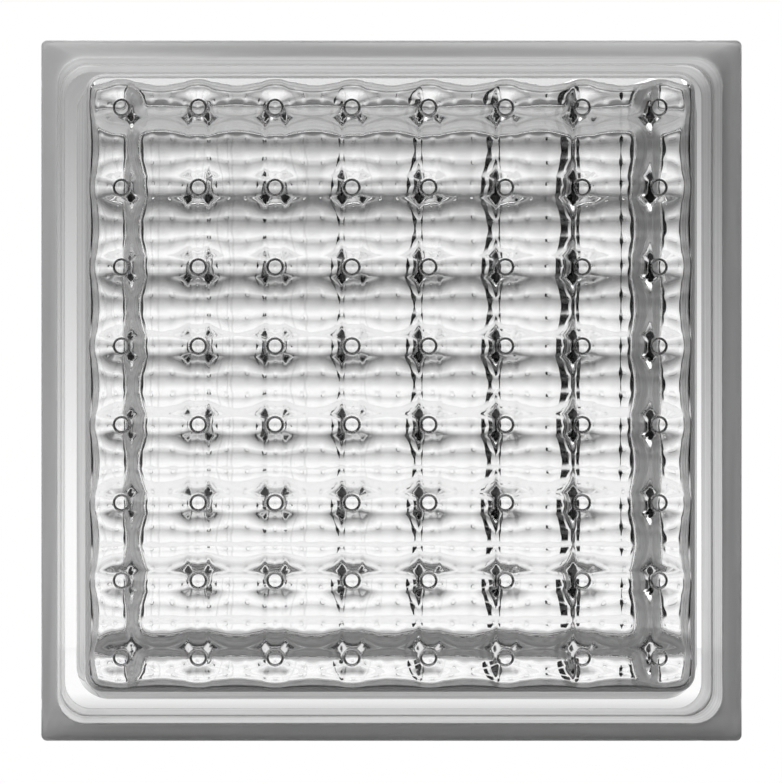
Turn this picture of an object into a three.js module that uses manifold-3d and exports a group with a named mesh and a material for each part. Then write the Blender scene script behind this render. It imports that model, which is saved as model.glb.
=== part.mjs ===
// Hollow glass block, cross-reeded on the inside.
//
// A glass block is two pressed half shells, stood rim to rim and fused along a seam at
// mid-depth. The outer faces are flat. The inside of each face carries crossing concave
// flutes, so that rounded ridges run up and across it, with a small domed boss where two
// ridges cross. The four side edges are keyed: a full-size lip at each face, a recess for
// the mortar between the lips, and the fused bead in the middle of the recess.
//
// Millimetres, +Z up. The front face looks towards -Y and the origin is under the middle
// of the block, on the plane of its lower lips.

import * as THREE from 'three';
import { mergeVertices } from 'three/addons/utils/BufferGeometryUtils.js';
import Module from 'manifold-3d';

const wasm = await Module();
wasm.setup();
const { Manifold, Mesh } = wasm;

// The block
const FACE_WIDTH = 190;
const FACE_HEIGHT = 190;
const BLOCK_DEPTH = 80;

// The side edges, from the face to the seam
const FACE_EDGE_RADIUS = 0.8;       // rounding between the flat face and the lip
const LIP_CORNER_RADIUS = 1.6;      // corner of the full-size outline
const LIP_DEPTH = 9;                // full-size band behind the face
const KEY_DEPTH = 3.8;              // how far the mortar recess lies below the lip
const KEY_FLANK_RUN = 3;            // depth over which the lip runs down into the recess
const KEY_CORNER_RADIUS = 7.6;      // corner of the recessed outline
const BEAD_RISE = 1.3;              // how far the fused bead stands above the recess
const BEAD_RUN = 1.8;               // half the width of the bead

// The window: where the side walls of the hollow meet the fluted face
const SIDE_BORDER = 11.3;           // solid glass between the lip and the window
const TOP_BORDER = 8.1;
const BOTTOM_BORDER = 12.2;
const WINDOW_CORNER_RADIUS = 5.4;
const FILLET_REACH = 6;             // the long fillet round the fluted face: across the window
const FILLET_DEPTH = 12;            // and along the side wall

// How far the side walls open out on their way from the fillet to the seam
const SIDE_SPREAD = 3.3;
const TOP_SPREAD = 0.5;
const BOTTOM_SPREAD = 3.2;

// The flutes and ridges
const THIN_GLASS = 3.5;             // glass left at the bottom of a flute
const PITCH_ACROSS = 21;            // between the upright ridges
const PITCH_UP = 21.5;              // between the level ridges
const FLUTE_RADIUS = 15.7;
const UPRIGHT_RIDGE_RADIUS = 5.9;
const LEVEL_RIDGE_RADIUS = 6.8;
const KNOB_SHARE = 0.55;            // what a crossing adds to the sum of its two ridges
const BOSS_DIAMETER = 4.15;
const BOSS_RISE = 0.85;             // step of the boss above the ridges that it stands on
const BOSS_DRAFT = THREE.MathUtils.degToRad(5);

// Facets
const CORNER_STEPS = 4;
const FILLET_STEPS = 5;
const FLANK_STEPS = 4;
const BEAD_STEPS = 3;
const BOSS_SIDES = 8;
const FACET_TOLERANCE = 0.002;      // vertices that bend a face by less than this are dropped
const CUT_OVERSHOOT = 1;            // how far a cutting body runs past the face it cuts

const HALF_DEPTH = BLOCK_DEPTH / 2;
const WINDOW_WIDTH = FACE_WIDTH - 2 * SIDE_BORDER;
const WINDOW_HEIGHT = FACE_HEIGHT - TOP_BORDER - BOTTOM_BORDER;
const WINDOW_CENTRE_Z = BOTTOM_BORDER + WINDOW_HEIGHT / 2;

// ---------------------------------------------------------------- solids and geometries

// A half shell is shaped in its own frame: x across, z up, and s, the depth behind its
// face, which runs along +y from the face at y = -HALF_DEPTH to the seam at y = 0.
function pointAt(x, z, s) {
  return [x, s - HALF_DEPTH, z];
}

function solidOf(geometry) {
  geometry.deleteAttribute('normal');
  geometry.deleteAttribute('uv');
  const merged = mergeVertices(geometry);
  const vertProperties = new Float32Array(merged.attributes.position.array);
  const triVerts = new Uint32Array(merged.index.array);
  return new Manifold(new Mesh({ numProp: 3, vertProperties, triVerts }));
}

function geometryOf(solid) {
  const mesh = solid.getMesh();
  const geometry = new THREE.BufferGeometry();
  geometry.setAttribute('position', new THREE.BufferAttribute(mesh.vertProperties, 3));
  geometry.setIndex(new THREE.BufferAttribute(mesh.triVerts, 1));
  geometry.computeVertexNormals();
  return geometry;
}

function meshGeometry(positions, indices) {
  const geometry = new THREE.BufferGeometry();
  geometry.setAttribute('position', new THREE.Float32BufferAttribute(positions, 3));
  geometry.setIndex(indices);
  return geometry;
}

// The outline of a rounded rectangle, counter-clockwise seen from the face.
function roundedOutline({ halfWidth, halfHeight, cornerRadius }) {
  const corners = [
    [halfWidth, halfHeight],
    [-halfWidth, halfHeight],
    [-halfWidth, -halfHeight],
    [halfWidth, -halfHeight],
  ];
  const outline = [];
  corners.forEach(([x, z], quarter) => {
    const centreX = x - Math.sign(x) * cornerRadius;
    const centreZ = z - Math.sign(z) * cornerRadius;
    for (let step = 0; step <= CORNER_STEPS; step += 1) {
      const angle = (quarter + step / CORNER_STEPS) * Math.PI / 2;
      outline.push([
        centreX + cornerRadius * Math.cos(angle),
        centreZ + cornerRadius * Math.sin(angle),
      ]);
    }
  });
  return outline;
}

// A closed loft through rounded rectangles, one for each station of growing depth.
function loft(stations) {
  const positions = [];
  const indices = [];
  const outlines = stations.map(roundedOutline);
  const count = outlines[0].length;
  outlines.forEach((outline, row) => {
    const { centreZ, s } = stations[row];
    outline.forEach(([x, z]) => positions.push(...pointAt(x, centreZ + z, s)));
  });
  for (let row = 0; row + 1 < stations.length; row += 1) {
    for (let i = 0; i < count; i += 1) {
      const next = (i + 1) % count;
      const a = row * count + i;
      const b = row * count + next;
      const c = a + count;
      const d = b + count;
      indices.push(a, d, b, a, c, d);
    }
  }
  const last = (stations.length - 1) * count;
  const frontCentre = positions.length / 3;
  [stations[0], stations.at(-1)].forEach(({ centreZ, s }) => {
    positions.push(...pointAt(0, centreZ, s));
  });
  for (let i = 0; i < count; i += 1) {
    const next = (i + 1) % count;
    indices.push(frontCentre, i, next);
    indices.push(frontCentre + 1, last + next, last + i);
  }
  return solidOf(meshGeometry(positions, indices));
}

// ---------------------------------------------------------------- the outside of a half

// The side edge as stations of depth, inset below the lip and corner radius.
function edgeStations() {
  const stations = [];
  const add = (s, inset, cornerRadius) => stations.push({
    s,
    centreZ: FACE_HEIGHT / 2,
    halfWidth: FACE_WIDTH / 2 - inset,
    halfHeight: FACE_HEIGHT / 2 - inset,
    cornerRadius,
  });
  for (let step = 0; step <= 2; step += 1) {
    const angle = (step / 2) * Math.PI / 2;
    add(FACE_EDGE_RADIUS * (1 - Math.cos(angle)), FACE_EDGE_RADIUS * (1 - Math.sin(angle)),
      LIP_CORNER_RADIUS);
  }
  for (let step = 0; step <= FLANK_STEPS; step += 1) {
    const along = step / FLANK_STEPS;
    const fall = (1 - Math.cos(along * Math.PI)) / 2;
    add(LIP_DEPTH + KEY_FLANK_RUN * along, KEY_DEPTH * fall,
      THREE.MathUtils.lerp(LIP_CORNER_RADIUS, KEY_CORNER_RADIUS, fall));
  }
  for (let step = 0; step <= BEAD_STEPS; step += 1) {
    const along = step / BEAD_STEPS;
    const rise = Math.sin(along * Math.PI / 2);
    add(HALF_DEPTH - BEAD_RUN * (1 - along), KEY_DEPTH - BEAD_RISE * rise, KEY_CORNER_RADIUS);
  }
  return stations;
}

// ---------------------------------------------------------------- the hollow of a half

// One ridge and the half flute on each side of it: the height of the glass above the
// bottom of the flute, at a distance from the crest. The two arcs meet tangentially.
function ridgeProfile(pitch, ridgeRadius) {
  const halfPitch = pitch / 2;
  const meeting = halfPitch * ridgeRadius / (FLUTE_RADIUS + ridgeRadius);
  const centreDrop = Math.sqrt((FLUTE_RADIUS + ridgeRadius) ** 2 - halfPitch ** 2);
  const heightAt = (fromCrest) => {
    if (fromCrest <= meeting) {
      return FLUTE_RADIUS - centreDrop + Math.sqrt(ridgeRadius ** 2 - fromCrest ** 2);
    }
    return FLUTE_RADIUS - Math.sqrt(FLUTE_RADIUS ** 2 - (halfPitch - fromCrest) ** 2);
  };
  return { halfPitch, meeting, crest: heightAt(0), heightAt };
}

// The ridges that fit a window, set evenly about its middle.
function ridgePlaces(span, pitch) {
  const count = Math.floor(span / pitch) + 1;
  return Array.from({ length: count }, (_, i) => (i - (count - 1) / 2) * pitch);
}

// Where the relief is sampled: the crest and the shoulders of each ridge, with the flute
// between two ridges in three equal facets, and a little past both ends of the mouth.
function sampleLines(ridges, { halfPitch, meeting }, start, end) {
  const shoulder = Math.round(meeting);
  const flank = (meeting + 2 * halfPitch) / 3;
  const lines = new Set([start - CUT_OVERSHOOT, end + CUT_OVERSHOOT]);
  ridges.forEach((crest) => {
    [-flank, -shoulder, 0, shoulder, flank].forEach((offset) => {
      const line = Number((crest + offset).toFixed(4));
      if (line > start && line < end) lines.add(line);
    });
  });
  return [...lines].sort((a, b) => a - b);
}

function reliefHeight(place, ridges, profile) {
  const nearest = Math.min(...ridges.map((crest) => Math.abs(place - crest)));
  return profile.heightAt(Math.min(nearest, profile.halfPitch));
}

const upright = ridgeProfile(PITCH_ACROSS, UPRIGHT_RIDGE_RADIUS);
const level = ridgeProfile(PITCH_UP, LEVEL_RIDGE_RADIUS);
const uprightPlaces = ridgePlaces(WINDOW_WIDTH, PITCH_ACROSS);
const levelPlaces = ridgePlaces(WINDOW_HEIGHT, PITCH_UP);

// The thickness of the glass where an upright and a level ridge are this high.
function glassAt(uprightHeight, levelHeight) {
  const knob = KNOB_SHARE * levelHeight * uprightHeight / upright.crest;
  return THIN_GLASS + uprightHeight + levelHeight + knob;
}

// A slab that ends on the crossed flutes and runs back past the seam. Each cell is split
// from its highest corner, so the cuts run out from the crossings.
function fluteSlab() {
  const reachAcross = WINDOW_WIDTH / 2 + SIDE_SPREAD;
  const reachDown = WINDOW_HEIGHT / 2 + BOTTOM_SPREAD;
  const reachUp = WINDOW_HEIGHT / 2 + TOP_SPREAD;
  const xs = sampleLines(uprightPlaces, upright, -reachAcross, reachAcross);
  const zs = sampleLines(levelPlaces, level, -reachDown, reachUp);
  const uprightHeights = xs.map((x) => reliefHeight(x, uprightPlaces, upright));
  const levelHeights = zs.map((z) => reliefHeight(z, levelPlaces, level));
  const depths = levelHeights.flatMap((levelHeight) => (
    uprightHeights.map((uprightHeight) => glassAt(uprightHeight, levelHeight))
  ));
  const back = HALF_DEPTH + CUT_OVERSHOOT;
  const positions = [];
  const indices = [];
  zs.forEach((z, j) => xs.forEach((x, i) => {
    positions.push(...pointAt(x, WINDOW_CENTRE_Z + z, depths[j * xs.length + i]));
  }));
  zs.forEach((z) => xs.forEach((x) => positions.push(...pointAt(x, WINDOW_CENTRE_Z + z, back))));
  const layer = xs.length * zs.length;
  const at = (i, j) => j * xs.length + i;
  for (let j = 0; j + 1 < zs.length; j += 1) {
    for (let i = 0; i + 1 < xs.length; i += 1) {
      const ring = [at(i, j), at(i + 1, j), at(i + 1, j + 1), at(i, j + 1)];
      const heights = ring.map((corner) => depths[corner]);
      const top = heights.indexOf(Math.max(...heights));
      const [a, b, c, d] = [0, 1, 2, 3].map((turn) => ring[(top + turn) % 4]);
      indices.push(a, b, c, a, c, d);
      indices.push(layer + a, layer + c, layer + b, layer + a, layer + d, layer + c);
    }
  }
  const skirt = (a, b) => indices.push(a, layer + a, layer + b, a, layer + b, b);
  for (let i = 0; i + 1 < xs.length; i += 1) {
    skirt(at(i, 0), at(i + 1, 0));
    skirt(at(i + 1, zs.length - 1), at(i, zs.length - 1));
  }
  for (let j = 0; j + 1 < zs.length; j += 1) {
    skirt(at(xs.length - 1, j), at(xs.length - 1, j + 1));
    skirt(at(0, j + 1), at(0, j));
  }
  return solidOf(meshGeometry(positions, indices));
}

// The side walls of the hollow: a fillet of a quarter ellipse round the fluted face, then
// straight walls that open out to the seam and a little past it.
function hollowStations() {
  const filletStart = THIN_GLASS - CUT_OVERSHOOT;
  const filletEnd = filletStart + FILLET_DEPTH;
  const stations = [];
  const add = (s, inset) => {
    const run = Math.max(s - filletEnd, 0) / (HALF_DEPTH - filletEnd);
    const bottom = BOTTOM_BORDER + inset - BOTTOM_SPREAD * run;
    const top = FACE_HEIGHT - TOP_BORDER - inset + TOP_SPREAD * run;
    stations.push({
      s,
      centreZ: (bottom + top) / 2,
      halfWidth: WINDOW_WIDTH / 2 - inset + SIDE_SPREAD * run,
      halfHeight: (top - bottom) / 2,
      cornerRadius: WINDOW_CORNER_RADIUS,
    });
  };
  for (let step = 0; step <= FILLET_STEPS; step += 1) {
    const angle = (step / FILLET_STEPS) * Math.PI / 2;
    add(filletStart + FILLET_DEPTH * (1 - Math.cos(angle)),
      FILLET_REACH * (1 - Math.sin(angle)));
  }
  add(HALF_DEPTH + CUT_OVERSHOOT, 0);
  return stations;
}

// A round boss, rooted in the glass, with drafted walls and a top domed like the ridge
// below it. It stands at the origin of the half's own frame.
function boss() {
  const radius = BOSS_DIAMETER / 2;
  const root = THIN_GLASS / 2;
  const edge = glassAt(upright.heightAt(radius), level.crest) + BOSS_RISE;
  const top = glassAt(upright.crest, level.crest) + BOSS_RISE;
  const rootedCone = (baseRadius, height) => {
    const cone = new THREE.ConeGeometry(baseRadius, height, BOSS_SIDES);
    cone.translate(0, root + height / 2, 0);
    return solidOf(cone);
  };
  const rootRadius = radius + (edge - root) * Math.tan(BOSS_DRAFT);
  const wall = rootedCone(rootRadius, rootRadius / Math.tan(BOSS_DRAFT));
  const dome = rootedCone(radius * (top - root) / (top - edge), top - root);
  return wall.intersect(dome);
}

// A boss on every crossing of two ridges, standing out into the hollow.
function bosses() {
  const one = boss();
  return Manifold.union(uprightPlaces.flatMap((x) => (
    levelPlaces.map((z) => one.translate(pointAt(x, WINDOW_CENTRE_Z + z, 0)))
  )));
}

// ---------------------------------------------------------------- the two halves

function halfShell() {
  const outside = loft(edgeStations());
  const hollow = loft(hollowStations())
    .intersect(fluteSlab())
    .subtract(bosses());
  return geometryOf(outside.subtract(hollow).simplify(FACET_TOLERANCE));
}

function glass() {
  return new THREE.MeshStandardMaterial({ color: 0xdfe6e4, roughness: 0.03, metalness: 0 });
}

const halfGeometry = halfShell();

const frontHalf = new THREE.Mesh(halfGeometry, glass());
frontHalf.name = 'front_half';

const backHalf = new THREE.Mesh(halfGeometry, glass());
backHalf.name = 'back_half';
backHalf.rotation.z = Math.PI;

const group = new THREE.Group();
group.add(frontHalf, backHalf);

export default group;
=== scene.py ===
# %% [markdown]
# # Hollow glass block
# A glass block is a masonry unit for walls that let light in. Two shells of clear
# soda-lime glass are pressed in a mould, then fused rim to rim, so the block is hollow and
# closed. Almost all that the eye gets from it is refraction. This lesson is about one
# watertight mesh with its true wall thickness, and about what that mesh has to look at.
#
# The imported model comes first. Blender works in metres, in that model's own frame.

import math

import bpy
import numpy as np
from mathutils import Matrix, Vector


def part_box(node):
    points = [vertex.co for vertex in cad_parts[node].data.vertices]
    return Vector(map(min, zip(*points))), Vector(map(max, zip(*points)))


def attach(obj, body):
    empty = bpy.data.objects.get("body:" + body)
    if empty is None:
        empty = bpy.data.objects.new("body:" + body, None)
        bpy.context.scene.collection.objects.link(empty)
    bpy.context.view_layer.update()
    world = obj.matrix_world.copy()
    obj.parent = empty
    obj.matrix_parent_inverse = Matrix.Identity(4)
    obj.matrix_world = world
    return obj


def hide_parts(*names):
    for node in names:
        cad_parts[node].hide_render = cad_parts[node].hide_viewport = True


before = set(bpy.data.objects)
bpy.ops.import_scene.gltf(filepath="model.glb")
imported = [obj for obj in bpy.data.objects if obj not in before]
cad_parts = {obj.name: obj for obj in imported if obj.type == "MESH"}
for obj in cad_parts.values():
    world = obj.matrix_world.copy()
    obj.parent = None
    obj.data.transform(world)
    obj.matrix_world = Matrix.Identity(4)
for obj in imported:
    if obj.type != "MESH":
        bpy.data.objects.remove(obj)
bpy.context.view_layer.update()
low, high = (Vector(corner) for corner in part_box("front_half"))
print("packed pieces:", len(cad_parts))
print("front half shell:", [round(v, 4) for v in low], [round(v, 4) for v in high])

# %% [markdown]
# ## Sizes
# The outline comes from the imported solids. The pressed form inside it is written in
# millimetres, as on the mould maker's drawing. Depths are counted from the outer face.
# The window is the flat field of the face that the relief fills. It sits a little above
# the middle of the face, because its lower border is the widest.

# %% Sizes of the block and its window
MM = 0.001
FACE_WIDTH = (high.x - low.x) / MM
FACE_HEIGHT = (high.z - low.z) / MM
HALF_DEPTH = (high.y - low.y) / MM
BLOCK_DEPTH = 2 * HALF_DEPTH

SIDE_BORDER = 11.3
TOP_BORDER = 8.1
BOTTOM_BORDER = 12.2
WINDOW_CORNER_RADIUS = 5.4
WINDOW_WIDTH = FACE_WIDTH - 2 * SIDE_BORDER
WINDOW_HEIGHT = FACE_HEIGHT - TOP_BORDER - BOTTOM_BORDER
WINDOW_CENTRE_Z = BOTTOM_BORDER + WINDOW_HEIGHT / 2
print(f"block {FACE_WIDTH:.1f} x {FACE_HEIGHT:.1f} x {BLOCK_DEPTH:.1f} mm")
print(f"window {WINDOW_WIDTH:.1f} x {WINDOW_HEIGHT:.1f} mm, centre {WINDOW_CENTRE_Z:.2f} mm up")

# %% [markdown]
# ## Profile of the relief
# The plunger of the press is milled with round cutters, so a ridge of glass is one arc and
# the flute between two ridges is another that meets it with the same slope. A formula for
# that pair of arcs is enough, and no curve has to be drawn by hand. Upright and level
# ridges are added together, so they cross like folded cloth, and every crossing is a knob.
# The level ridges stand a little further apart towards the top than towards the bottom.

# %% Height of one ridge
RIDGE_COUNT = 8
UPRIGHT = {"pitch": 21.0, "flute": 15.7, "ridge": 5.9, "spread": 0.0}
LEVEL = {"pitch": 21.5, "flute": 15.7, "ridge": 6.8, "spread": 0.065}

def ridge_height(from_crest, form):
    """Height over the bottom of the flute, from the radii of the two arcs."""
    half = form["pitch"] / 2
    flute, ridge = form["flute"], form["ridge"]
    meeting = half * ridge / (flute + ridge)
    drop = math.sqrt((flute + ridge) ** 2 - half ** 2)
    u = np.minimum(np.abs(from_crest), half)
    crest = flute - drop + np.sqrt(np.maximum(ridge ** 2 - u ** 2, 0))
    hollow = flute - np.sqrt(flute ** 2 - (half - u) ** 2)
    return np.where(u <= meeting, crest, hollow)

print("ridge over flute, upright and level:",
      [round(float(ridge_height(0.0, form)), 2) for form in (UPRIGHT, LEVEL)], "mm")

# %% Places of the ridges
def ridge_places(form):
    order = np.arange(RIDGE_COUNT) - (RIDGE_COUNT - 1) / 2
    return order * form["pitch"] + form["spread"] * order ** 2

def from_crest(places, form):
    """Distance from the nearest crest, once the pattern's slight spread is taken out."""
    even = places - form["spread"] * (places / form["pitch"]) ** 2
    order = np.round(even / form["pitch"] + 0.5)
    order = np.clip(order, 1 - RIDGE_COUNT / 2, RIDGE_COUNT / 2) - 0.5
    return even - order * form["pitch"]

for way, form in (("upright", UPRIGHT), ("level", LEVEL)):
    print(way, "ridges at", [round(float(place), 1) for place in ridge_places(form)], "mm")

# %% [markdown]
# ## Lattice
# The relief is a height over a flat lattice. Its lines stand close together round each
# crest and further apart in the flutes, so few faces give smooth glass. A round boss
# stands on every crossing, and its step is the sharpest thing in the relief. Lines run
# along the step's top and foot, with a guard line on each side of them, so the smooth
# shading turns within the step and doesn't smear across the ridge.

# %% Lines of the lattice
BOSS_TOP_RADIUS = 1.81
BOSS_FOOT_RADIUS = 2.35
CREST_OFFSETS = [0.8, 1.7, BOSS_TOP_RADIUS, 1.98, 2.16, BOSS_FOOT_RADIUS, 2.47, 3.0, 3.7]
FLUTE_STEPS = 4
RIM_STEPS = 14

def lattice_lines(start, end, form):
    ridges = ridge_places(form)
    reach = CREST_OFFSETS[-1]
    lines = []
    for crest in ridges:
        lines += [crest]
        lines += [crest + offset for offset in CREST_OFFSETS]
        lines += [crest - offset for offset in CREST_OFFSETS]
    for left, right in zip(ridges[:-1], ridges[1:]):
        lines += list(np.linspace(left + reach, right - reach, FLUTE_STEPS + 2)[1:-1])
    turn = np.linspace(0, math.pi / 2, RIM_STEPS + 1)[:-1]
    lines += list(start + (ridges[0] - reach - start) * (1 - np.cos(turn)))
    lines += list(end - (end - ridges[-1] - reach) * (1 - np.cos(turn)))
    return np.array(sorted(lines))

line_count = len(lattice_lines(-WINDOW_WIDTH / 2, WINDOW_WIDTH / 2, UPRIGHT))
print("lines of the lattice each way:", line_count)

# %% [markdown]
# ## Round shapes on a square lattice
# Two things are round on the real mould: the corners of the window, and the bosses. Rather
# than cut the lattice, its points are slid along, which keeps every face a tidy
# four-sided one. Corners are pulled in to their radius. Round each crossing the square
# rings of lines become circles, and the change dies out just beyond the boss.

# %% Slide the lattice's points
def smooth(t):
    t = np.clip(t, 0, 1)
    return t * t * (3 - 2 * t)

def rounded_corner(x, z, half_width, half_height, radius):
    """Pull the square corners of the lattice in to a radius."""
    a = np.abs(x) - (half_width - radius)
    b = np.abs(z) - (half_height - radius)
    corner = (a > 0) & (b > 0)
    squash = np.where(corner, np.maximum(a, b) / np.maximum(np.hypot(a, b), 1e-9), 1)
    x = np.where(corner, np.sign(x) * (half_width - radius + a * squash), x)
    z = np.where(corner, np.sign(z) * (half_height - radius + b * squash), z)
    return x, z

def round_bosses(x, z):
    """Turn the square rings of lines round each crossing into circles."""
    u = from_crest(x, UPRIGHT)
    v = from_crest(z, LEVEL)
    square = np.maximum(np.abs(u), np.abs(v))
    circle = np.hypot(u, v)
    ratio = np.where(circle > 1e-9, square / np.maximum(circle, 1e-9), 1)
    fade_start, fade_end = CREST_OFFSETS[-2:]
    share = 1 - smooth((square - fade_start) / (fade_end - fade_start))
    factor = share * (ratio - 1)
    return x + u * factor, z + v * factor

print(f"rings are round up to {CREST_OFFSETS[-2]} mm from a crossing")

# %% [markdown]
# ## Ripple
# Pressed glass is never quite true: it chills against the mould and pulls. A sum of a few
# long, low waves gives that. Their slope is what bends the light, so the slope is set and
# the height follows from it. A fixed seed for each face keeps the result the same.

# %% Slow waves in the glass
RIPPLE_SLOPE = 0.008
RIPPLE_WAVES = 7
RIPPLE_LENGTHS = (14, 45)

def ripple(x, z, seed):
    rng = np.random.default_rng(seed)
    total = np.zeros_like(x)
    for _ in range(RIPPLE_WAVES):
        length = rng.uniform(*RIPPLE_LENGTHS)
        heading = rng.uniform(0, math.pi)
        phase = rng.uniform(0, 2 * math.pi)
        along = x * math.cos(heading) + z * math.sin(heading)
        swing = RIPPLE_SLOPE * length / (2 * math.pi)
        total += swing * np.sin(2 * math.pi * along / length + phase)
    return total

tallest = RIPPLE_SLOPE * RIPPLE_LENGTHS[1] / (2 * math.pi)
print(f"tallest wave of the ripple: {tallest:.3f} mm")

# %% [markdown]
# ## Depth of the inner face
# Four things are put together: the relief, the round boss on each crossing, the fillet
# that turns the face into the side walls, and a chamfer along the window's top edge. The
# chamfer stands at nearly 45 degrees, so it turns the view up and out of the lip, to the
# light ceiling, and a white line runs along the top of the window. Each joins the others
# by a soft maximum, which leaves a rounded valley where a plain maximum leaves a crease.

# %% Inner face
THIN_GLASS = 3.5
PATTERN_CENTRE_Z = 96.4
KNOB_SHARE = 0.62
BOSS_RISE = 1.0
FILLET_START = 2.5
FILLET_DEPTH = 12.0
FILLET_REACH = 6.0
FILLET_BLEND = 3.5
CHAMFER_DEPTH = 5.0
CHAMFER_REACH = 5.8
CHAMFER_SLOPE = 0.9
CHAMFER_BLEND = 1.0

def soft_maximum(a, b, blend):
    return 0.5 * (a + b + np.sqrt((a - b) ** 2 + blend ** 2))

def relief_depth(across, up):
    """Depth of the crossed ridges and their bosses, from distances to the nearest crests."""
    upright, level = ridge_height(across, UPRIGHT), ridge_height(up, LEVEL)
    knob = KNOB_SHARE * upright * level / ridge_height(0.0, UPRIGHT)
    step = BOSS_FOOT_RADIUS - np.hypot(across, up)
    boss = BOSS_RISE * smooth(step / (BOSS_FOOT_RADIUS - BOSS_TOP_RADIUS))
    return THIN_GLASS + upright + level + knob + boss

def fillet_depth(x, z, half_width, half_height):
    """Depth of the quarter-round that turns the face into the walls."""
    a = np.abs(x) - (half_width - WINDOW_CORNER_RADIUS)
    b = np.abs(z) - (half_height - WINDOW_CORNER_RADIUS)
    outside = np.hypot(np.maximum(a, 0), np.maximum(b, 0)) + np.minimum(np.maximum(a, b), 0)
    inside = WINDOW_CORNER_RADIUS - outside
    inward = np.clip(inside, 0, FILLET_REACH)
    arc = 1 - np.sqrt(np.maximum(1 - (1 - inward / FILLET_REACH) ** 2, 0))
    beyond = np.maximum(inside - FILLET_REACH, 0)
    return FILLET_START + FILLET_DEPTH * arc - 0.5 * beyond ** 2

def inner_face(slip_x, slip_z, seed):
    """One pressed inner face: lattice places across and up, and depth from the outer face."""
    half_width, half_height = WINDOW_WIDTH / 2, WINDOW_HEIGHT / 2
    rise = PATTERN_CENTRE_Z + slip_z - WINDOW_CENTRE_Z
    x, z = np.meshgrid(lattice_lines(-half_width - slip_x, half_width - slip_x, UPRIGHT),
                       lattice_lines(-half_height - rise, half_height - rise, LEVEL))
    x, z = round_bosses(x, z)
    x, z = rounded_corner(x + slip_x, z + rise, half_width, half_height, WINDOW_CORNER_RADIUS)
    depth = relief_depth(from_crest(x - slip_x, UPRIGHT), from_crest(z - rise, LEVEL))
    depth = depth + ripple(x, z, seed)
    depth = soft_maximum(depth, fillet_depth(x, z, half_width, half_height), FILLET_BLEND)
    chamfer = CHAMFER_DEPTH + CHAMFER_SLOPE * (CHAMFER_REACH - (half_height - z))
    return x, z, soft_maximum(depth, chamfer, CHAMFER_BLEND)

crossing = float(relief_depth(0.0, 0.0))
print(f"glass {THIN_GLASS} mm thick in a flute, {crossing:.2f} mm on a boss")

# %% [markdown]
# ## Hollow
# The hollow is one closed skin: the inner face of the front shell, the side walls, and the
# inner face of the back shell. The walls run from the window's outline to a wider mouth at
# the seam, because the plunger has to come out of the hot glass, and the corners open
# most. The shells slip a little against each other when they are fused, so the pattern of
# the back one is shifted.

# %% Side walls
SIDE_SPREAD = 3.3
TOP_SPREAD = 0.5
BOTTOM_SPREAD = 3.7
MOUTH_CORNER_GROWTH = 4.0
WALL_START = FILLET_START + FILLET_DEPTH
WALL_DEPTHS = [17.0, 22.0, 30.0, 38.5, HALF_DEPTH]

def rim(rows, cols):
    """Row and column of each point of the lattice's outer ring, once round."""
    ring = [(0, i) for i in range(cols - 1)]
    ring += [(j, cols - 1) for j in range(rows - 1)]
    ring += [(rows - 1, i) for i in range(cols - 1, 0, -1)]
    ring += [(j, 0) for j in range(rows - 1, 0, -1)]
    return tuple(np.array(ring).T)

def wall_place(x, z, depth):
    """Move a point of the window's outline out to the wall at this depth."""
    t = (depth - WALL_START) / (HALF_DEPTH - WALL_START)
    core_x = WINDOW_WIDTH / 2 - WINDOW_CORNER_RADIUS
    core_z = WINDOW_HEIGHT / 2 - WINDOW_CORNER_RADIUS
    side_x, side_z = np.clip(x / core_x, -1, 1), np.clip(z / core_z, -1, 1)
    spread_z = np.where(side_z > 0, TOP_SPREAD, BOTTOM_SPREAD)
    growth = MOUTH_CORNER_GROWTH * t
    swell = growth / WINDOW_CORNER_RADIUS
    x = x + side_x * (SIDE_SPREAD * t - growth) + (x - side_x * core_x) * swell
    z = z + side_z * (spread_z * t - growth) + (z - side_z * core_z) * swell
    return x, WINDOW_CENTRE_Z + z

mouth = wall_place(WINDOW_WIDTH / 2, 0.0, HALF_DEPTH)[0]
print(f"hollow {2 * mouth:.1f} mm wide at the seam")

# %% Skin of the hollow
BACK_SLIP_X = 0.3
BACK_SLIP_Z = 1.4
FRONT_SEED, BACK_SEED = 4, 9

def stack_points(x, y, z):
    return np.stack([x, y, z], axis=-1).reshape(-1, 3)

def hollow_skin():
    front_x, front_z, front_depth = inner_face(0, 0, FRONT_SEED)
    back_x, back_z, back_depth = inner_face(BACK_SLIP_X, BACK_SLIP_Z, BACK_SEED)
    rows, cols = front_x.shape
    index = np.arange(rows * cols).reshape(rows, cols)
    quads = [index[:-1, :-1], index[1:, :-1], index[1:, 1:], index[:-1, 1:]]
    quads = np.stack(quads, axis=-1).reshape(-1, 4)
    points = [stack_points(front_x, front_depth - HALF_DEPTH, WINDOW_CENTRE_Z + front_z),
              stack_points(back_x, HALF_DEPTH - back_depth, WINDOW_CENTRE_Z + back_z)]
    faces = [quads, quads[:, ::-1] + rows * cols]

    ring = rim(rows, cols)
    loops, base = [index[ring]], 2 * rows * cols
    for depth in WALL_DEPTHS + [BLOCK_DEPTH - d for d in WALL_DEPTHS[-2::-1]]:
        share = depth / BLOCK_DEPTH
        x = front_x[ring] * (1 - share) + back_x[ring] * share
        z = front_z[ring] * (1 - share) + back_z[ring] * share
        wall_x, wall_z = wall_place(x, z, min(depth, BLOCK_DEPTH - depth))
        points.append(stack_points(wall_x, np.full(len(x), depth - HALF_DEPTH), wall_z))
        loops.append(base + np.arange(len(x)))
        base += len(x)
    loops.append(index[ring] + rows * cols)
    for a, b in zip(loops[:-1], loops[1:]):
        faces.append(np.stack([a, np.roll(a, -1), np.roll(b, -1), b], axis=-1))
    return np.concatenate(points), np.concatenate(faces)

hollow_points, hollow_faces = hollow_skin()
print("hollow skin:", len(hollow_points), "points,", len(hollow_faces), "faces")

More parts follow.
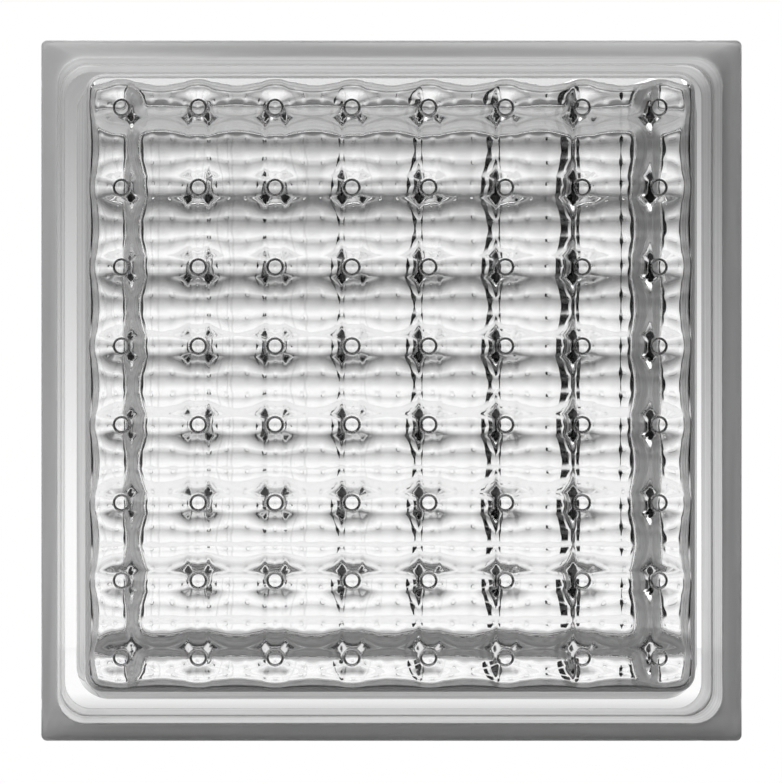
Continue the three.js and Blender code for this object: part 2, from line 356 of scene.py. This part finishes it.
# %% [markdown]
# ## Outside
# The outside is a tube of rounded rectangles from face to face: lip, the flank down into
# the mortar key, the key's floor, and the low bead that fusing squeezes out at the seam.
# It could be swept along a path, but a list of stations, each with its depth, inset and
# corner radius, says the same and is easy to change.

# %% One outline
OUTLINE_SIDE_STEPS = 12
OUTLINE_CORNER_STEPS = 8

def outline(half_width, half_height, radius):
    """Points once round a rounded rectangle."""
    corners = [(1, 1), (-1, 1), (-1, -1), (1, -1)]
    centres = [(sx * (half_width - radius), sz * (half_height - radius)) for sx, sz in corners]
    points = []
    for quarter, (cx, cz) in enumerate(centres):
        for step in range(OUTLINE_CORNER_STEPS + 1):
            angle = (quarter + step / OUTLINE_CORNER_STEPS) * math.pi / 2
            points.append((cx + radius * math.cos(angle), cz + radius * math.sin(angle)))
        nx, nz = centres[(quarter + 1) % 4]
        ax, az = points[-1]
        bx, bz = nx + radius * math.cos(angle), nz + radius * math.sin(angle)
        for step in range(1, OUTLINE_SIDE_STEPS):
            t = step / OUTLINE_SIDE_STEPS
            points.append((ax + (bx - ax) * t, az + (bz - az) * t))
    return np.array(points)

# %% Stations from the face to the seam
FACE_EDGE_RADIUS = 0.8
FACE_EDGE_MARGIN = 0.6
LIP_CORNER_RADIUS = 1.6
LIP_DEPTH = 9.0
LIP_END_MARGIN = 0.4
KEY_DEPTH = 3.8
KEY_FLANK_RUN = 3.0
KEY_CORNER_RADIUS = 7.6
KEY_FLOOR_DEPTHS = (15.0, 20.0, 26.0, 32.0)
BEAD_RISE = 1.3
BEAD_RUN = 1.8

def edge_stations():
    """Depth, inset and corner radius of each outline on one half."""
    stations = [(0.0, FACE_EDGE_RADIUS + FACE_EDGE_MARGIN, LIP_CORNER_RADIUS)]
    for angle in np.linspace(0, math.pi / 2, 5):
        depth = FACE_EDGE_RADIUS * (1 - math.cos(angle))
        stations.append((depth, FACE_EDGE_RADIUS * (1 - math.sin(angle)), LIP_CORNER_RADIUS))
    stations.append((LIP_DEPTH - LIP_END_MARGIN, 0.0, LIP_CORNER_RADIUS))
    for t in np.linspace(0, 1, 9):
        radius = LIP_CORNER_RADIUS + (KEY_CORNER_RADIUS - LIP_CORNER_RADIUS) * smooth(t)
        stations.append((LIP_DEPTH + KEY_FLANK_RUN * t, KEY_DEPTH * smooth(t), radius))
    stations += [(depth, KEY_DEPTH, KEY_CORNER_RADIUS) for depth in KEY_FLOOR_DEPTHS]
    for t in np.linspace(0, 1, 7):
        inset = KEY_DEPTH - BEAD_RISE * smooth(t)
        stations.append((HALF_DEPTH - BEAD_RUN * (1 - t), inset, KEY_CORNER_RADIUS))
    return stations

front_stations = edge_stations()
print("stations on one half:", len(front_stations))

# %% Skin of the outside
def outside_skin():
    """Points, faces, the depth of each face, and the loops round the two flat faces."""
    stations = list(front_stations)
    stations += [(BLOCK_DEPTH - depth, *rest) for depth, *rest in front_stations[-2::-1]]
    points, loops, faces, depths, base = [], [], [], [], 0
    for depth, inset, radius in stations:
        ring = outline(FACE_WIDTH / 2 - inset, FACE_HEIGHT / 2 - inset, radius)
        y = np.full(len(ring), depth - HALF_DEPTH)
        points.append(stack_points(ring[:, 0], y, FACE_HEIGHT / 2 + ring[:, 1]))
        loops.append(base + np.arange(len(ring)))
        base += len(ring)
    for a, b in zip(loops[:-1], loops[1:]):
        faces.append(np.stack([a, b, np.roll(b, -1), np.roll(a, -1)], axis=-1))
    for start, end in zip(stations[:-1], stations[1:]):
        depths += [(start[0] + end[0]) / 2] * len(loops[0])
    return np.concatenate(points), np.concatenate(faces), np.array(depths), loops[0], loops[-1]

outside_points, outside_faces, outside_depths, front_cap, back_cap = outside_skin()
print("outside skin:", len(outside_points), "points,", len(outside_faces), "faces")

# %% [markdown]
# ## One body of glass
# Both skins go into one mesh. Their normals point away from the glass, so light that enters
# refracts at each of the four surfaces in turn, as it does in the fused block. Two separate
# shells would leave a double face at the seam, which the fused glass doesn't have.

# %% Assemble the block
shift = len(hollow_points)
points = np.concatenate([hollow_points, outside_points]) * MM
faces = [tuple(face) for face in hollow_faces] + [tuple(face + shift) for face in outside_faces]
faces += [tuple(front_cap + shift), tuple((back_cap + shift)[::-1])]
mesh = bpy.data.meshes.new("fused_block")
mesh.from_pydata(points.tolist(), [], faces)
mesh.update()
mesh.shade_smooth()
for flat_face in (mesh.polygons[-1], mesh.polygons[-2]):
    flat_face.use_smooth = False
block = bpy.data.objects.new("fused_block", mesh)
bpy.context.scene.collection.objects.link(block)
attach(block, "root")
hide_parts("front_half", "back_half")
print("block:", len(mesh.vertices), "points,", len(mesh.polygons), "faces")

# %% Measure the block
CM3_PER_M3 = 1e6
mesh.calc_loop_triangles()
corners = np.array([[mesh.vertices[i].co for i in t.vertices] for t in mesh.loop_triangles])
volume = np.einsum("ij,ij->", corners[:, 0], np.cross(corners[:, 1], corners[:, 2])) / 6
print("triangles:", len(mesh.loop_triangles))
print("glass:", round(float(volume) * CM3_PER_M3, 1), "cm3")

# %% [markdown]
# ## Material helpers
# Colours are written as sRGB hex, as on a paint card, and Blender wants them linear. One
# small function adds a node with its settings and its links.

# %% Helpers
def linear(hex_colour):
    channels = [int(hex_colour[i:i + 2], 16) / 255 for i in (1, 3, 5)]
    return [c / 12.92 if c <= 0.04045 else ((c + 0.055) / 1.055) ** 2.4 for c in channels] + [1.0]

def add(tree, kind, settings=None, links=None):
    node = tree.nodes.new("ShaderNode" + kind)
    for name, value in (settings or {}).items():
        if isinstance(name, int) or name in node.inputs:
            node.inputs[name].default_value = value
        else:
            setattr(node, name, value)
    for name, source in (links or {}).items():
        tree.links.new(source, node.inputs[name])
    return node

def new_tree(owner):
    owner.use_nodes = True
    owner.node_tree.nodes.clear()
    return owner.node_tree

def ramp_of(tree, value, stops):
    """A colour ramp from (place, brightness) pairs with places from 0 to 1."""
    node = add(tree, "ValToRGB", links={0: value})
    marks = node.color_ramp.elements
    while len(marks) < len(stops):
        marks.new(0.5)
    for mark, (place, brightness) in zip(marks, stops):
        mark.position = place
        mark.color = (brightness, brightness, brightness, 1)
    return node.outputs[0]

print("#808080 in linear light:", round(linear("#808080")[0], 3))

# %% [markdown]
# ## Glass
# The shells are clear soda-lime glass, pressed and fire polished, so the surface has no
# roughness of its own. Its index is 1.52. A trace of iron takes a little light in thick
# glass, which the absorption in the volume gives.

# %% Pressed soda-lime glass
glass = bpy.data.materials.new("pressed_soda_lime_glass")
tree = new_tree(glass)
surface = add(tree, "BsdfPrincipled", {"Base Color": linear("#ffffff"), "Roughness": 0.0,
                                       "IOR": 1.52, "Transmission Weight": 1.0})
inside = add(tree, "VolumeAbsorption", {"Color": linear("#efefef"), "Density": 3.0})
add(tree, "OutputMaterial", links={"Surface": surface.outputs[0], "Volume": inside.outputs[0]})
mesh.materials.append(glass)
print("material:", glass.name)

# %% [markdown]
# ## Edge coat
# The mortar edges of a block are sprayed with a pale vinyl bond coat. Through the clear
# border the eye meets the back of that coat, which is why the border is grey and not
# clear. The film is thin, so most of what it shows is light that soaks through from
# outside, and the passes of the spray gun leave long streaks round the block. It could be
# a skin of its own, but it is on the faces of the mesh between the two lips, where it
# stands in for the glass surface. Seen at a flat angle it shines.

# %% Streaks of the spray gun
STREAK_LENGTH = 125 * MM
STREAK_WIDTH = 10 / 3 * MM
coat = bpy.data.materials.new("sprayed_vinyl_bond_coat")
tree = new_tree(coat)
place = add(tree, "NewGeometry")
streak_scale = (1 / STREAK_LENGTH, 1 / STREAK_WIDTH, 1 / STREAK_LENGTH)
stretched = add(tree, "VectorMath", {"operation": "MULTIPLY", 1: streak_scale},
                {0: place.outputs["Position"]})
streaks = add(tree, "TexNoise", {"Scale": 1.0, "Detail": 2.0}, {"Vector": stretched.outputs[0]})
tint = ramp_of(tree, streaks.outputs[0], [(0.3, 0.68), (0.5, 0.86), (0.7, 0.95)])
print("streaks per metre, across, deep and up:", [round(scale) for scale in streak_scale])

# %% Vinyl bond coat
SOAK_SHARE = 0.65
film = add(tree, "BsdfDiffuse", links={"Color": tint})
soak = add(tree, "BsdfTranslucent", links={"Color": tint})
body = add(tree, "MixShader", {0: SOAK_SHARE}, {1: film.outputs[0], 2: soak.outputs[0]})
skim = add(tree, "BsdfGlossy", {"Roughness": 0.12}, {"Color": tint})
facing = add(tree, "LayerWeight", {"Blend": 0.5})
shine = ramp_of(tree, facing.outputs["Facing"], [(0.0, 0.04), (0.6, 0.06), (0.85, 0.5), (1.0, 0.6)])
surface = add(tree, "MixShader", {}, {0: shine, 1: body.outputs[0], 2: skim.outputs[0]})
add(tree, "OutputMaterial", links={"Surface": surface.outputs[0]})
mesh.materials.append(coat)
print("material:", coat.name)

# %% Faces that carry the coat
COAT_OVER_LIP = 0.2
coat_start = LIP_DEPTH - COAT_OVER_LIP
coated = (outside_depths > coat_start) & (outside_depths < BLOCK_DEPTH - coat_start)
slots = np.zeros(len(mesh.polygons), dtype=np.int32)
slots[len(hollow_faces):len(hollow_faces) + len(outside_faces)] = coated
mesh.polygons.foreach_set("material_index", slots)
print("coated faces:", int(coated.sum()))

# %% [markdown]
# ## Table
# The block stands on a white table. A glass thing is seen by what it bends into view, and
# a table that is white all round would wash the pattern out. So there are two tables in
# one. The camera and mirrored light see plain white, and light that bounces off the coat
# meets a matt top, partly lit, which takes the block's shadow. Light that came through the
# glass sees a pool of light that dies away within a metre, shade under the block, and in
# front of it one lit strip between a dark foot and a dark foreground.

# %% Flat sheets of the stage
def stage_sheet(name, corners):
    sheet = bpy.data.meshes.new(name)
    sheet.from_pydata(corners, [], [(0, 1, 2, 3)])
    piece = bpy.data.objects.new(name, sheet)
    bpy.context.scene.collection.objects.link(piece)
    return piece

TABLE_REACH = 6.0
FLOOR_GAP = 0.0002
table = stage_sheet("white_table", [(x * TABLE_REACH, y * TABLE_REACH, -FLOOR_GAP)
                                    for x, y in ((-1, -1), (1, -1), (1, 1), (-1, 1))])
print("table:", 2 * TABLE_REACH, "m wide")

# %% Pool of light on the table
POOL_CENTRE = (-0.05, -0.12, 0)
POOL_RANGE = 2.5
POOL = [(0.0, 1.1), (0.14, 1.09), (0.19, 0.88), (0.24, 0.4), (0.3, 0.12), (0.4, 0.05),
        (0.6, 0.03), (1.0, 0.02)]
paper = bpy.data.materials.new("white_table_top")
tree = new_tree(paper)
path = add(tree, "LightPath")
place = add(tree, "NewGeometry")
away = add(tree, "VectorMath", {"operation": "DISTANCE", 1: POOL_CENTRE}, {0: place.outputs["Position"]})
away = add(tree, "Math", {"operation": "DIVIDE", 1: POOL_RANGE}, {0: away.outputs["Value"]})
pool = ramp_of(tree, away.outputs[0], POOL)
shown = add(tree, "Mix", {"data_type": "RGBA", 7: (1, 1, 1, 1)},
            {0: path.outputs["Is Camera Ray"], 6: pool})
for mark, brightness in POOL:
    print(f"pool of light at {mark * POOL_RANGE:.2f} m: {brightness}")

# %% Shade under and round the block
SHADE_RANGE = 3.0
SHADE = [(0.31, 0.2), (0.35, 0.5), (0.49, 0.62), (0.66, 0.8), (0.9, 1.0)]
footprint = (FACE_WIDTH / 2 * MM, HALF_DEPTH * MM, 1)
reach = add(tree, "VectorMath", {"operation": "ABSOLUTE"}, {0: place.outputs["Position"]})
reach = add(tree, "VectorMath", {"operation": "DIVIDE", 1: footprint}, {0: reach.outputs[0]})
reach = add(tree, "SeparateXYZ", links={0: reach.outputs[0]})
reach = add(tree, "Math", {"operation": "MAXIMUM"}, {0: reach.outputs["X"], 1: reach.outputs["Y"]})
reach = add(tree, "Math", {"operation": "DIVIDE", 1: SHADE_RANGE}, {0: reach.outputs[0]})
shade = ramp_of(tree, reach.outputs[0], SHADE)
print("shade ends", round(SHADE[-1][0] * SHADE_RANGE, 1), "half sizes from the block's middle")

# %% Strips from front to back
STRIP_RANGE = 0.25
STRIPS = [(0.0, 0.02), (0.22, 0.03), (0.28, 0.1), (0.32, 0.9), (0.38, 1.0), (0.41, 0.25),
          (0.42, 0.1), (0.5, 1.0)]
along = add(tree, "SeparateXYZ", links={0: place.outputs["Position"]})
along = add(tree, "MapRange", {"From Min": -STRIP_RANGE, "From Max": STRIP_RANGE},
            {"Value": along.outputs["Y"]})
strips = ramp_of(tree, along.outputs[0], STRIPS)
lit_strip = [round((2 * mark - 1) * STRIP_RANGE, 3) for mark in (STRIPS[3][0], STRIPS[4][0])]
print("the strip in front is lit from y =", lit_strip[0], "to", lit_strip[1], "m")

# %% White table top
BOUNCE_SHARE = 0.7
strength = add(tree, "Math", {"operation": "MULTIPLY"}, {0: shade, 1: strips})
strength = add(tree, "Math", {"operation": "MAXIMUM", "use_clamp": True},
               {0: strength.outputs[0], 1: path.outputs["Diffuse Depth"]})
strength = add(tree, "Math", {"operation": "MAXIMUM"},
               {0: strength.outputs[0], 1: path.outputs["Is Camera Ray"]})
glow = add(tree, "Emission", links={"Color": shown.outputs[2], "Strength": strength.outputs[0]})
matt = add(tree, "BsdfDiffuse", {"Color": linear("#e6e6e6")})
straight = add(tree, "Math", {"operation": "SUBTRACT", "use_clamp": True},
               {0: path.outputs["Is Transmission Ray"], 1: path.outputs["Is Diffuse Ray"]})
bounce = add(tree, "Math", {"operation": "MULTIPLY_ADD", 1: BOUNCE_SHARE},
             {0: path.outputs["Is Diffuse Ray"], 2: straight.outputs[0]})
seen = add(tree, "Math", {"operation": "MAXIMUM"},
           {0: path.outputs["Is Camera Ray"], 1: path.outputs["Is Glossy Ray"]})
share = add(tree, "Math", {"operation": "MAXIMUM"}, {0: seen.outputs[0], 1: bounce.outputs[0]})
top = add(tree, "MixShader", links={0: share.outputs[0], 1: matt.outputs[0], 2: glow.outputs[0]})
add(tree, "OutputMaterial", links={"Surface": top.outputs[0]})
table.data.materials.append(paper)
print("material:", paper.name)

# %% [markdown]
# ## Backdrop
# A lit paper backdrop stands close behind the block, and it is not much wider than the
# block. The dark room past its edges draws the black dashes in the flutes. Its light
# falls off upwards, and that draws the level bands. A soft dip in it, left of the middle,
# and a slightly dimmer right end keep the sides from being as white as the middle. It
# isn't seen beside the block, and it throws no shadow.

# %% Sheet of the backdrop
BACKDROP_GAP = 0.22
BACKDROP_LEFT, BACKDROP_RIGHT = -0.25, 0.163
BACKDROP_HEIGHT = 0.5
back_y = HALF_DEPTH * MM + BACKDROP_GAP
backdrop = stage_sheet("paper_backdrop", [(BACKDROP_LEFT, back_y, 0),
                                          (BACKDROP_RIGHT, back_y, 0),
                                          (BACKDROP_RIGHT, back_y, BACKDROP_HEIGHT),
                                          (BACKDROP_LEFT, back_y, BACKDROP_HEIGHT)])
backdrop.visible_camera = False
backdrop.visible_shadow = False
print(f"backdrop {BACKDROP_RIGHT - BACKDROP_LEFT:.3f} x {BACKDROP_HEIGHT} m")

# %% Lit backdrop paper
FALL = [(0.0, 1.3), (0.08, 1.28), (0.13, 1.2), (0.19, 1.04), (0.24, 0.92), (0.33, 0.7),
        (0.38, 0.58), (0.46, 0.43), (0.54, 0.3), (0.66, 0.2), (1.0, 0.15)]
DIMMER_RANGE = 0.25
DIMMER = [(0.255, 1.0), (0.285, 0.84), (0.303, 0.84), (0.333, 1.0), (0.56, 1.0), (0.8, 0.92)]
lit = bpy.data.materials.new("lit_backdrop_paper")
tree = new_tree(lit)
place = add(tree, "NewGeometry")
split = add(tree, "SeparateXYZ", links={0: place.outputs["Position"]})
height = add(tree, "Math", {"operation": "DIVIDE", 1: BACKDROP_HEIGHT}, {0: split.outputs["Z"]})
fall = ramp_of(tree, height.outputs[0], FALL)
width = add(tree, "MapRange", {"From Min": -DIMMER_RANGE, "From Max": DIMMER_RANGE},
            {"Value": split.outputs["X"]})
dimmer = ramp_of(tree, width.outputs[0], DIMMER)
glow = add(tree, "Emission", links={"Color": fall, "Strength": dimmer})
add(tree, "OutputMaterial", links={"Surface": glow.outputs[0]})
backdrop.data.materials.append(lit)
print("material:", lit.name)

# %% [markdown]
# ## Soft boxes
# Clear glass takes its light from what it bends into view, so lamps do little for it. They
# are here for the coat: one overhead and a weaker one on the left, low enough that its
# pale film stays grey. They are hidden from the glass, where they would show as squares.

# %% Soft boxes
def soft_box(name, place, size, watts):
    """An area lamp that points at the middle of the block."""
    light = bpy.data.lights.new(name, "AREA")
    light.shape = "SQUARE"
    light.size = size
    light.energy = watts
    lamp = bpy.data.objects.new(name, light)
    bpy.context.scene.collection.objects.link(lamp)
    lamp.location = place
    aim = Vector((0, 0, FACE_HEIGHT / 2 * MM)) - lamp.location
    lamp.rotation_euler = aim.to_track_quat("-Z", "Y").to_euler()
    lamp.visible_transmission = False
    lamp.visible_glossy = False
    print(f"{name}: {watts} W, {aim.length:.2f} m away")

soft_box("overhead_soft_box", place=(-0.1, 0.0, 1.2), size=0.8, watts=14.0)
soft_box("left_soft_box", place=(-1.2, 0.0, 0.35), size=0.8, watts=7.0)

# %% [markdown]
# ## Room
# The room is dim at eye height, because light from all round would fill the black dashes.
# The ceiling is light, which gives the white line at the top of the window, and dim light
# comes from below, past the table's edge. The side that the camera stands on is dark. The
# camera sees the room as plain white, like the table.

# %% Brightness of the room by direction
UPWARD = [(0.0, 0.9), (0.40, 0.3), (0.48, 0.1), (0.50, 0.0), (0.60, 0.0), (0.66, 0.04),
          (0.85, 0.08), (0.93, 1.6), (1.0, 1.6)]
SIDEWAYS = [(0.0, 0.03), (0.3, 0.0), (1.0, 0.0)]
FRONT_SIDE = {"From Min": -0.36, "From Max": -0.3, "To Min": 0.05, "To Max": 1.0}
WHOLE_TURN = {"From Min": -1.0, "From Max": 1.0}
world = bpy.data.worlds.new("dim_room")
bpy.context.scene.world = world
tree = new_tree(world)
toward = add(tree, "TexCoord")
toward = add(tree, "SeparateXYZ", links={0: toward.outputs["Generated"]})
up = add(tree, "MapRange", WHOLE_TURN, {"Value": toward.outputs["Z"]})
ceiling = ramp_of(tree, up.outputs[0], UPWARD)
ahead = add(tree, "MapRange", FRONT_SIDE, {"Value": toward.outputs["Y"]})
ceiling = add(tree, "Mix", {"data_type": "RGBA", "blend_type": "MULTIPLY", 0: 1.0},
              {6: ceiling, 7: ahead.outputs[0]})
across = add(tree, "MapRange", WHOLE_TURN, {"Value": toward.outputs["X"]})
left_wall = ramp_of(tree, across.outputs[0], SIDEWAYS)
room = add(tree, "Mix", {"data_type": "RGBA", "blend_type": "ADD", 0: 1.0},
           {6: ceiling.outputs[2], 7: left_wall})
print("brightest part of the room:", max(brightness for _, brightness in UPWARD))

# %% White for the camera
path = add(tree, "LightPath")
shown = add(tree, "Mix", {"data_type": "RGBA", 7: (1, 1, 1, 1)},
            {0: path.outputs["Is Camera Ray"], 6: room.outputs[2]})
sky = add(tree, "Background", links={"Color": shown.outputs[2]})
add(tree, "OutputWorld", links={"Surface": sky.outputs[0]})
print("world:", world.name)

# %% [markdown]
# ## Camera
# A long lens looks straight at the face from a little left of its middle. The lens is
# shifted, not turned, so the face stays square in the frame. The distance matters: it sets
# how far the ridges of the back shell seem to stand from those of the front.

# %% Camera
CAMERA_X, CAMERA_Z, CAMERA_DISTANCE = -42.0, 97.0, 770.0
FRAME_PIXELS = 782
FACE_PIXELS = 700.1
FACE_PIXELS_LEFT, FACE_PIXELS_UP = 0.65, 0.85
SENSOR_WIDTH = 36
pixel = FACE_WIDTH / FACE_PIXELS
view_width = FRAME_PIXELS * pixel
lens = bpy.data.cameras.new("camera")
camera = bpy.data.objects.new("camera", lens)
bpy.context.scene.collection.objects.link(camera)
bpy.context.scene.camera = camera
camera.location = (CAMERA_X * MM, (-HALF_DEPTH - CAMERA_DISTANCE) * MM, CAMERA_Z * MM)
camera.rotation_euler = (math.pi / 2, 0, 0)
lens.sensor_width = SENSOR_WIDTH
lens.lens = SENSOR_WIDTH * CAMERA_DISTANCE / view_width
lens.shift_x = (-FACE_PIXELS_LEFT * pixel - CAMERA_X) / view_width
lens.shift_y = (FACE_HEIGHT / 2 - FACE_PIXELS_UP * pixel - CAMERA_Z) / view_width
print(f"lens {lens.lens:.1f} mm, shift {lens.shift_x:.3f} across and {lens.shift_y:.3f} up")

# %% [markdown]
# ## Light paths
# A ray that comes straight through crosses four surfaces, and one that is caught in the
# border is reflected many times more. Too few bounces would turn those places black.

# %% Bounces and view
scene = bpy.context.scene
scene.view_settings.view_transform = "Standard"
scene.cycles.max_bounces = 24
scene.cycles.transmission_bounces = 24
scene.cycles.glossy_bounces = 12
scene.cycles.diffuse_bounces = 3
print("bounces:", scene.cycles.max_bounces)
